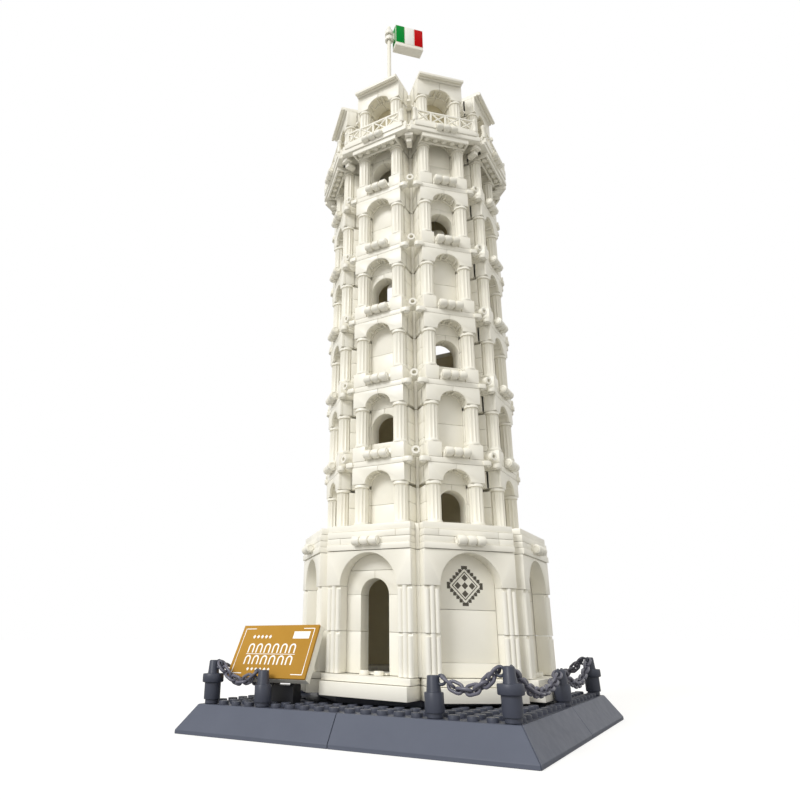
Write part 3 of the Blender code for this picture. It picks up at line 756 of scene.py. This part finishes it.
def belfry_mesh():
    """One side of the bell chamber, with its balcony, closed niche and roof strip."""
    kit = Kit()
    wide = (-PANEL_HALF, PANEL_HALF)
    # flare: a plate seen from below, its hollow filled with a row of pins
    kit.block(wide, (55.9, 61.4), (347.5, 348.6))
    kit.block(wide, (60.3, 61.5), (345.3, 347.5))
    kit.block(wide, (55.0, 56.2), (345.3, 347.5))
    for xs in both(14.9, PANEL_HALF):
        kit.block(xs, (56.2, 60.3), (345.4, 347.5))
    for i in range(-2, 3):
        x = i * 5.9
        dome = ((0.5, 345.2), (1.2, 345.35), (1.65, 345.75), (1.75, 346.3), (1.75, 347.6))
        kit.turned(dome, x, 58.3, 18)
    # rim: two plate courses with notched ends
    kit.block((-23.9, 23.9), (57.6, 62.4), (348.7, 351.9))
    kit.block((-21.5, 21.5), (57.6, 63.0), (352.0, 355.6))
    for xs in both(21.6, 23.9):
        kit.block(xs, (57.6, 61.4), (352.0, 355.6))
    for xs in both(22.3, 25.0):
        kit.block(xs, (57.2, 60.0), (349.6, 352.6))
    fingers(kit, 61.0, 63.9, 352.6, 0.86, 4.9)
    corner_ring(kit, 63.6, 351.4)
    corner_post(kit, 58.4, 346.2, 348.6, 5.2, 5.0)
    corner_post(kit, 55.0, 343.0, 345.6, 3.4, 6.2)
    back = CORE_BACK * math.tan(SECTOR) - 0.1
    floor = [(-23.9, 61.5), (23.9, 61.5), (back + 4.0, 49.0), (back, CORE_BACK)]
    floor += [(-back, CORE_BACK), (-back - 4.0, 49.0)]
    kit.slab(floor, 353.4, 356.0)
    lattice(kit, (-20.0, 20.0), 61.1, 62.5, BELFRY_FLOOR, 365.2, 4, 1.15)
    rail_post = (
        (1.5, BELFRY_FLOOR),
        (1.6, 356.1),
        (1.6, 359.0),
        (1.2, 359.4),
        (1.2, 364.4),
        (1.5, 364.8),
        (1.5, 366.0),
        (1.3, 366.2),
    )
    for x in (-20.9, 20.9):
        kit.turned(rail_post, x, 61.6, 16)
    # chamber wall, closed behind its arch
    for low, high in ((BELFRY_FLOOR, 359.7), (359.8, 363.5)):
        kit.block(wide, (CORE_BACK, SHELL + (0.7 if low < 359 else 0.0)), (low, high))
    for xs in both(8.4, PANEL_HALF):
        for low, high in ((BELFRY_BASE, 373.2), (373.3, 385.5)):
            kit.block(xs, (CORE_BACK, 48.8), (low, high))
    columns(kit, BELFRY_BASE, 387.1)
    arch_bricks(kit, BELFRY_SPRING, BELFRY_TOP, CORE, SHELL)
    left = half_arch(PANEL_HALF, ARCH_HALF, BELFRY_SPRING, BELFRY_SPRING, ARCH_RISE, BELFRY_TOP)
    kit.wall(left, CORE_BACK, CORE - 0.1)
    kit.wall(flipped(left), CORE_BACK, CORE - 0.1)
    # the niche's back, in the darker tan ivory: painted shade
    kit.block((-8.5, 8.5), (CORE_BACK + 0.6, 41.5), (363.0, 396.0), 1)
    for z0, z1 in ((356.0, 371.4), (371.5, 387.1), (BELFRY_SPRING, 400.0)):
        corner_post(kit, 41.6, z0, z1, 1.7, 2.6)
    corner_post(kit, 44.6, 384.5, 387.6, 8.6, 3.0)
    corner_post(kit, 47.8, 385.3, 386.9, 2.6, 5.4)
    for level in (BELFRY_FLOOR, 362.4):
        corner_post(kit, 44.6, level, level + 2.2, 8.6, 5.0)
    # roof strip with a drip edge and a bevelled front
    strip = [(39.8, 400.3), (57.2, 400.3), (57.2, 401.1), (58.0, 401.1), (58.0, 400.2), (60.0, 400.2)]
    strip += [(60.0, 402.0), (58.9, 403.1), (39.8, 403.1)]
    kit.bar(strip, -15.9, 15.9)
    return kit


# ---------------------------------------------------------------- tower pieces

for name, face, half, low, high in (
    ("plinth_lower", 71.4, 23.4, 17.0, 23.2),
    ("plinth_upper", 69.0, 24.0, 23.5, 26.4),
):
    side = plinth_mesh(face, half, low, high).mesh()
    piece(
        f"{name}_plates",
        [(side, side_place(k)) for k in range(SIDES)],
        [IVORY],
        "frame",
        [name],
    )

door_wall = ground_mesh(True).mesh()
blind_wall = ground_mesh(False).mesh()
print_kit = Kit()
inlay(print_kit, 68.3, 58.6)
inlay_mesh = print_kit.mesh(0.0)
for k in range(SIDES):
    parts = [(door_wall if k % 2 == 0 else blind_wall, side_place(k))]
    if k % 2:
        parts.append((inlay_mesh, side_place(k)))
    node = f"ground_wall_{k}"
    piece(f"{node}_bricks", parts, [IVORY, INLAY, PAINTED_SHADE], "frame", [node])

storeys = {
    (is_open, level): storey_mesh(is_open, level == STOREYS - 1, level == 0).mesh()
    for is_open in (True, False)
    for level in (0, 1, STOREYS - 1)
}
for k in range(SIDES):
    parts = []
    for level in range(STOREYS):
        kind = level if level in (0, STOREYS - 1) else 1
        mesh = storeys[((k + level) % 2 == 1, kind)]
        parts.append((mesh, side_place(k, ARCADE + STOREY * level)))
    node = f"arcade_{k}"
    piece(f"{node}_bricks", parts, [IVORY, INLAY, PAINTED_SHADE], "frame", [node])

belfry_side = belfry_mesh().mesh()
for k in range(SIDES):
    node = f"belfry_{k}"
    piece(f"{node}_bricks", [(belfry_side, side_place(k))], [IVORY, PAINTED_SHADE], "frame", [node])

floor_kit = Kit()
corner = 38.9 / math.cos(SECTOR)
octagon = [
    (corner * math.cos(SECTOR * (2 * i + 1)), corner * math.sin(SECTOR * (2 * i + 1)))
    for i in range(SIDES)
]
floor_kit.slab(octagon, 353.5, BELFRY_FLOOR)
for i in range(-4, 5):
    for j in range(-4, 5):
        x, y = i * STUD, j * STUD
        near_pole = math.hypot(x - POLE[0], -y - POLE[1]) < 7
        if math.hypot(x, y) < 35 and not near_pole:
            floor_kit.turned(((2.4, 355.5), (2.4, 357.4), (2.25, 357.6)), x, y, 20)
piece("belfry_floor_plate", [(floor_kit.mesh(), TOWER)], [IVORY], "frame", ["belfry_floor"])


# ---------------------------------------------------------------- flagpole and flag

pole_kit = Kit()
pole_profile = (
    (4.6, 356.0),
    (4.8, 356.2),
    (4.8, 358.8),
    (4.5, 359.1),
    (2.6, 359.2),
    (2.6, 362.4),
    (2.4, 362.7),
    (1.5, 362.8),
    (1.5, 517.4),
    (1.35, 518.4),
    (0.8, 518.9),
)
pole_kit.turned(pole_profile, 0, 0, 24)
POLE_PLACE = TOWER @ Matrix.Translation((POLE[0], POLE[1], 0))
piece("flagpole_rod", [(pole_kit.mesh(), POLE_PLACE)], [IVORY], "frame", ["flagpole"])

flag_kit = Kit()
flag_kit.block((FLAG_START, 28.4), (-FLAG_HALF, FLAG_HALF), (496.3, 499.4))
for i, finish in enumerate((1, 2, 3)):
    x0 = FLAG_START + FLAG_STRIPE * i
    flag_kit.block((x0 + 0.04, x0 + 7.96), (-FLAG_HALF, FLAG_HALF), (499.48, 518.65), finish)
flag_kit.block((2.6, 5.2), (-1.6, 1.6), (504.0, 512.0))
clip = [(3.3 * math.cos(t), 3.3 * math.sin(t)) for t in angles(0, FULL, 24)[:-1]]
bore = [(2.0 * math.cos(t), 2.0 * math.sin(t)) for t in angles(0, FULL, 24)[:-1]]
for z0, z1 in ((503.0, 506.2), (509.6, 513.0)):
    for i in range(24):
        j = (i + 1) % 24
        rings = [[(p[0], p[1], z) for p in (bore[i], clip[i], clip[j], bore[j])] for z in (z0, z1)]
        flag_kit.loft(rings, smooth=True)
FLAG_PLACE = POLE_PLACE @ Matrix.Rotation(FLAG_TURN, 4, "Z")
piece(
    "flag_blocks",
    [(flag_kit.mesh(0.3), FLAG_PLACE)],
    [IVORY, GREEN, WHITE, RED],
    "flag",
    ["flag"],
)


# ---------------------------------------------------------------- base


def from_cad(node, soft):
    """A finer copy of a CAD node's own shape, with its edges rounded."""
    shape = bmesh.new()
    shape.from_mesh(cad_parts[node].data)
    bmesh.ops.transform(shape, matrix=Matrix.Scale(1 / MM, 4), verts=shape.verts)
    bmesh.ops.remove_doubles(shape, verts=shape.verts, dist=0.001)
    bmesh.ops.dissolve_limit(shape, angle_limit=0.01, verts=shape.verts, edges=shape.edges)
    sharp = [e for e in shape.edges if e.calc_face_angle(0.0) > math.radians(20)]
    made = bmesh.ops.bevel(
        shape, geom=sharp, offset=soft, segments=3, profile=0.5, affect="EDGES", clamp_overlap=True
    )
    for face in made["faces"]:
        face.smooth = True
    mesh = bpy.data.meshes.new("kit")
    shape.to_mesh(mesh)
    shape.free()
    return mesh


for side in ("front", "right", "back", "left"):
    for half in ("a", "b"):
        node = f"border_{side}_{half}"
        piece(f"{node}_slope", [(from_cad(node, 0.35), HERE)], [SLOPE], "frame", [node])
piece("tilt_wedge_block", [(from_cad("tilt_wedge", 0.3), HERE)], [SLATE], "frame", ["tilt_wedge"])

POSTS = {
    "post_front_a": (-POST_ROW, -POST_ROW, True),
    "post_front_b": (-POST_FLANK, -POST_ROW, False),
    "post_front_c": (POST_FLANK, -POST_ROW, False),
    "post_front_d": (POST_ROW, -POST_ROW, True),
    "post_back_a": (-POST_ROW, POST_ROW, True),
    "post_back_b": (-POST_FLANK, POST_ROW, False),
    "post_back_c": (POST_FLANK, POST_ROW, False),
    "post_back_d": (POST_ROW, POST_ROW, True),
    "post_left": (-POST_ROW, POST_SIDE, False),
    "post_right": (POST_ROW, POST_SIDE, False),
}


def octagon_reach(x, y):
    """How far out a point lies, measured square to the nearest side of the tower."""
    dx, dy = x - TOWER_X, y - TOWER_Y
    return max(
        dx * math.sin(FULL * k / SIDES) - dy * math.cos(FULL * k / SIDES) for k in range(SIDES)
    )


deck_kit = Kit()
for i in range(2):
    x0, x1 = (-DECK_HALF, -0.08) if i == 0 else (0.08, DECK_HALF)
    corners = [(x0, -DECK_HALF), (x1, -DECK_HALF), (x1, DECK_HALF), (x0, DECK_HALF)]
    deck_kit.slab(corners, 0.0, DECK_TOP)
stud_profile = (
    (STUD_R, -0.4),
    (STUD_R, STUD_H - 0.28),
    (STUD_R - 0.08, STUD_H - 0.1),
    (STUD_R - 0.28, STUD_H),
)
for i in range(STUDS):
    for j in range(STUDS):
        x, y = (i - (STUDS - 1) / 2) * STUD, (j - (STUDS - 1) / 2) * STUD
        at_post = any(math.hypot(x - px, y - py) < 1 for px, py, _ in POSTS.values())
        in_bracket = (
            BRACKET_X[0] - 2.7 < x < BRACKET_X[1] + 2.7 and BRACKET_Y[0] - 2.7 < y < BRACKET_Y[1] + 2.7
        )
        if at_post or in_bracket or octagon_reach(x, y) <= KEEP_OUT:
            continue
        deck_kit.turned([(r, DECK_TOP + z) for r, z in stud_profile], x, -y, 22)
piece("deck_plate", [(deck_kit.mesh(0.2), HERE)], [SLATE], "frame", ["deck"])

PLAIN_POST = (
    (3.1, 0.1),
    (3.3, 0.3),
    (3.3, 1.9),
    (3.9, 2.1),
    (4.0, 2.4),
    (4.0, 9.3),
    (3.85, 9.55),
    (3.1, 9.7),
    (3.0, 10.0),
    (2.55, 15.4),
    (2.35, 15.8),
    (2.1, 15.9),
)
CORNER_POST = (
    (3.1, 0.1),
    (3.3, 0.3),
    (3.3, 1.9),
    (3.9, 2.1),
    (4.0, 2.4),
    (4.0, 9.5),
    (4.95, 9.8),
    (5.2, 10.1),
    (5.2, 13.3),
    (4.95, 13.7),
    (2.9, 13.85),
    (2.75, 14.2),
    (2.3, 19.5),
    (2.1, 19.85),
    (1.9, 19.95),
)


def links_from(post, toward):
    """Where a chain is held on a post, and the way it leaves."""
    x, y, corner = POSTS[post]
    ox, oy, _ = POSTS[toward]
    reach, height = CORNER_HANG if corner else PLAIN_HANG
    way = Vector((ox - x, oy - y, 0)).normalized()
    return Vector((x, y, DECK_TOP + height)) + way * reach, way


CHAINS = {
    "chain_front_left": ("post_front_a", "post_front_b", SHORT_SAG),
    "chain_front_right": ("post_front_d", "post_front_c", SHORT_SAG),
    "chain_back_left": ("post_back_a", "post_back_b", SHORT_SAG),
    "chain_back_right": ("post_back_d", "post_back_c", SHORT_SAG),
    "chain_left_front": ("post_front_a", "post_left", LONG_SAG),
    "chain_left_back": ("post_back_a", "post_left", LONG_SAG),
    "chain_right_front": ("post_front_d", "post_right", LONG_SAG),
    "chain_right_back": ("post_back_d", "post_right", LONG_SAG),
}


def loop_path(long, wide, corners=7):
    """The middle line of a chain link: two straights and two round ends."""
    radius = wide / 2
    straight = long / 2 - radius
    path = [(straight + radius * math.sin(t), radius * math.cos(t)) for t in angles(0, math.pi, corners)]
    path += [(-straight - radius * math.sin(t), -radius * math.cos(t)) for t in angles(0, math.pi, corners)]
    return path


LINK = loop_path(LINK_LONG - 2 * WIRE, LINK_WIDE - 2 * WIRE)

for name, (x, y, corner) in POSTS.items():
    kit = Kit()
    profile = CORNER_POST if corner else PLAIN_POST
    kit.turned([(r, DECK_TOP + z) for r, z in profile], x, -y, 36)
    for first, second, _ in CHAINS.values():
        for post, other in ((first, second), (second, first)):
            if post == name:
                hold, way = links_from(post, other)
                reach = CORNER_HANG[0] if corner else PLAIN_HANG[0]
                centre = hold - way * (reach - 3.6)
                eye = [
                    centre + way * (1.75 * math.cos(t)) + Vector((0, 0, 1.75 * math.sin(t)))
                    for t in angles(0, FULL, 18)[:-1]
                ]
                kit.tube(eye, 0.62)
    piece(f"{name}_pillar", [(kit.mesh(), HERE)], [SLATE], "frame", [name])

for name, (first, second, sag) in CHAINS.items():
    start, way = links_from(first, second)
    end, _ = links_from(second, first)
    start, end = start - way * 0.6, end - way * 0.45
    fine = 200
    curve = [
        start.lerp(end, i / fine) - Vector((0, 0, sag * 4 * (i / fine) * (1 - i / fine)))
        for i in range(fine + 1)
    ]
    steps = [0.0]
    for a, b in zip(curve, curve[1:]):
        steps.append(steps[-1] + (b - a).length)
    inset = LINK_LONG / 2 - 2.6
    count = math.ceil((steps[-1] - 2 * inset) / LINK_PITCH) + 1
    count += (count + 1) % 2
    kit = Kit()
    side = way.cross(Vector((0, 0, 1)))
    for n in range(count):
        target = inset + (steps[-1] - 2 * inset) * n / (count - 1)
        i = min(max(k for k in range(fine) if steps[k] <= target), fine - 1)
        share = (target - steps[i]) / (steps[i + 1] - steps[i])
        centre = curve[i].lerp(curve[i + 1], share)
        along = (curve[min(i + 4, fine)] - curve[max(i - 4, 0)]).normalized()
        up = side.cross(along)
        roll = math.radians(72 if n % 2 else -18)
        flat = side * math.cos(roll) + up * math.sin(roll)
        kit.tube([centre + along * p + flat * q for p, q in LINK], WIRE, 10)
    piece(f"{name}_links", [(kit.mesh(), HERE)], [GREY], name, [name])


# ---------------------------------------------------------------- plaque

PLAQUE = Matrix.Translation(PLAQUE_PLACE) @ Matrix.Rotation(-PLAQUE_TILT, 4, "X")


def printed(kit, outline, lift=0.06):
    """A thin raised print on the plaque's face: points (x, z) in its plane."""
    kit.loft([[(x, y, z) for x, z in outline] for y in (-lift, 0.3)], 1)


def stroke(kit, x0, z0, x1, z1, width=0.42):
    """A printed line between two points."""
    run = Vector((x1 - x0, z1 - z0)).normalized() * width / 2
    corners = [(x0 - run.y, z0 + run.x), (x1 - run.y, z1 + run.x), (x1 + run.y, z1 - run.x)]
    printed(kit, [*corners, (x0 + run.y, z0 - run.x)])


face_kit = Kit()
corners = [(-PLAQUE_HALF, 0.0), (PLAQUE_HALF, 0.0), (PLAQUE_HALF, PLAQUE_RISE), (-PLAQUE_HALF, PLAQUE_RISE)]
face_kit.loft([[(x, y, z) for x, z in corners] for y in (0.0, 1.0)])
print_kit = Kit()
side_line = PLAQUE_HALF - 2.2
for sx in (-1, 1):
    for z, dz in ((2.0, 1), (PLAQUE_RISE - 2.0, -1)):
        stroke(print_kit, sx * side_line, z, sx * (side_line - 6.6), z)
        stroke(print_kit, sx * side_line, z, sx * side_line, z + dz * 4.6)
    stroke(print_kit, sx * side_line, 6.6, sx * side_line, PLAQUE_RISE - 6.6, 0.3)
printed(print_kit, [(10.0, 20.2), (19.8, 20.2), (19.8, 24.0), (10.0, 24.0)])


def row_of_arches(kit, x0, count, pitch, low, high):
    """A band of small round-headed arches, an ornament with no meaning."""
    for i in range(count):
        x = x0 + pitch * i
        half, leg = pitch * 0.36, pitch * 0.15
        spring = high - half
        outer = [(x - half * math.cos(t), spring + half * math.sin(t)) for t in angles(0, math.pi, 10)]
        inside = half - leg
        inner = [
            (x - inside * math.cos(t), spring + inside * math.sin(t)) for t in angles(0, math.pi, 10)
        ]
        for a, b, c, d in zip(outer, outer[1:], inner[1:], inner):
            printed(kit, [a, b, c, d])
        for sx in (-1, 1):
            ends = sorted((x + sx * half, x + sx * inside))
            printed(kit, [(ends[0], low), (ends[1], low), (ends[1], spring), (ends[0], spring)])


row_of_arches(print_kit, -14.2, 6, 5.2, 12.6, 17.6)
row_of_arches(print_kit, -14.2, 6, 5.2, 6.6, 11.4)
for i in range(5):
    x = -14.8 + 2.6 * i
    printed(print_kit, [(x - 0.9, 21.2), (x, 20.1), (x + 0.9, 21.2), (x, 22.3)])
for i in range(6):
    x = -12.0 + 2.6 * i
    printed(print_kit, [(x - 0.8, 4.2), (x, 3.3), (x + 0.8, 4.2), (x, 5.1)])
stroke(print_kit, -16.4, 12.0, 14.2, 12.0, 0.3)
piece(
    "plaque_face_tile",
    [(face_kit.mesh(0.15), PLAQUE), (print_kit.mesh(0.0), PLAQUE)],
    [GOLD, WHITE],
    "plaque",
    ["plaque_face"],
)
piece(
    "plaque_backing_plate",
    [(from_cad("plaque_backing", 0.22), HERE)],
    [IVORY],
    "plaque",
    ["plaque_backing"],
)
piece(
    "plaque_bracket_hinge",
    [(from_cad("plaque_bracket", 0.22), HERE)],
    [BLACK],
    "frame",
    ["plaque_bracket"],
)


# ---------------------------------------------------------------- stage, light and camera


def floor_material():
    """Matt pale card, lit a little from within so that it fades into the backdrop."""
    mat = bpy.data.materials.new("pale_floor")
    mat.use_nodes = True
    nodes, links = mat.node_tree.nodes, mat.node_tree.links
    shader = nodes["Principled BSDF"]
    noise = nodes.new("ShaderNodeTexNoise")
    noise.inputs["Scale"].default_value = 6.0
    ramp = nodes.new("ShaderNodeValToRGB")
    ramp.color_ramp.elements[0].color = (0.37, 0.366, 0.354, 1)
    ramp.color_ramp.elements[1].color = (0.39, 0.386, 0.373, 1)
    links.new(noise.outputs["Fac"], ramp.inputs["Fac"])
    links.new(ramp.outputs["Color"], shader.inputs["Base Color"])
    shader.inputs["Roughness"].default_value = 0.9
    shader.inputs["Specular IOR Level"].default_value = 0.1
    glow = nodes.new("ShaderNodeEmission")
    glow.inputs["Strength"].default_value = 0.66
    ray = nodes.new("ShaderNodeLightPath")
    none = nodes.new("ShaderNodeEmission")
    none.inputs["Strength"].default_value = 0.0
    pick = nodes.new("ShaderNodeMixShader")
    both_parts = nodes.new("ShaderNodeAddShader")
    links.new(ray.outputs["Is Camera Ray"], pick.inputs["Fac"])
    links.new(none.outputs["Emission"], pick.inputs[1])
    links.new(glow.outputs["Emission"], pick.inputs[2])
    links.new(shader.outputs["BSDF"], both_parts.inputs[0])
    links.new(pick.outputs["Shader"], both_parts.inputs[1])
    links.new(both_parts.outputs["Shader"], nodes["Material Output"].inputs["Surface"])
    return mat


sheet = bpy.data.meshes.new("floor")
span = 40.0
edge = [(-span, -span, 0), (span, -span, 0), (span, span, 0), (-span, span, 0)]
sheet.from_pydata(edge, [], [(0, 1, 2, 3)])
sheet.materials.append(floor_material())
floor = bpy.data.objects.new("floor", sheet)
bpy.context.scene.collection.objects.link(floor)
floor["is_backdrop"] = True


def sun(name, towards, strength, softness):
    """A large soft light far off, even over the whole height of the tower."""
    data = bpy.data.lights.new(name, "SUN")
    data.energy = strength
    data.angle = math.radians(softness)
    lamp = bpy.data.objects.new(name, data)
    lamp.rotation_euler = (-Vector(towards)).to_track_quat("-Z", "Y").to_euler()
    bpy.context.scene.collection.objects.link(lamp)


sun("key", (-0.28, -1.3, 0.9), 1.58, 22.0)

world = bpy.data.worlds.new("studio")
bpy.context.scene.world = world
world.use_nodes = True
sky, wires = world.node_tree.nodes, world.node_tree.links
backdrop = sky["Background"]
backdrop.inputs["Color"].default_value = (1.0, 0.985, 0.945, 1)
backdrop.inputs["Strength"].default_value = 0.86
plain = sky.new("ShaderNodeBackground")
plain.inputs["Color"].default_value = (1, 1, 1, 1)
plain.inputs["Strength"].default_value = 1.0
path = sky.new("ShaderNodeLightPath")
choice = sky.new("ShaderNodeMixShader")
wires.new(path.outputs["Is Camera Ray"], choice.inputs["Fac"])
wires.new(backdrop.outputs["Background"], choice.inputs[1])
wires.new(plain.outputs["Background"], choice.inputs[2])
wires.new(choice.outputs["Shader"], sky["World Output"].inputs["Surface"])
bpy.context.scene.view_settings.view_transform = "Standard"

CAMERA = (157.62, -334.18, 42.13)
YAW = math.radians(31.88)
PITCH = math.radians(21.49)
LENS = 27.84555
SENSOR = 36.0
SHIFT = (0.079825, -0.0044625)
lens = bpy.data.cameras.new("camera")
lens.sensor_width = SENSOR
lens.lens = LENS
lens.shift_x, lens.shift_y = SHIFT
lens.clip_start = 0.01
lens.clip_end = 200.0
camera = bpy.data.objects.new("camera", lens)
camera.location = Vector(CAMERA) * MM
look = Vector((-math.sin(YAW) * math.cos(PITCH), math.cos(YAW) * math.cos(PITCH), math.sin(PITCH)))
camera.rotation_euler = look.to_track_quat("-Z", "Y").to_euler()
bpy.context.scene.collection.objects.link(camera)
bpy.context.scene.camera = camera

low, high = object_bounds()
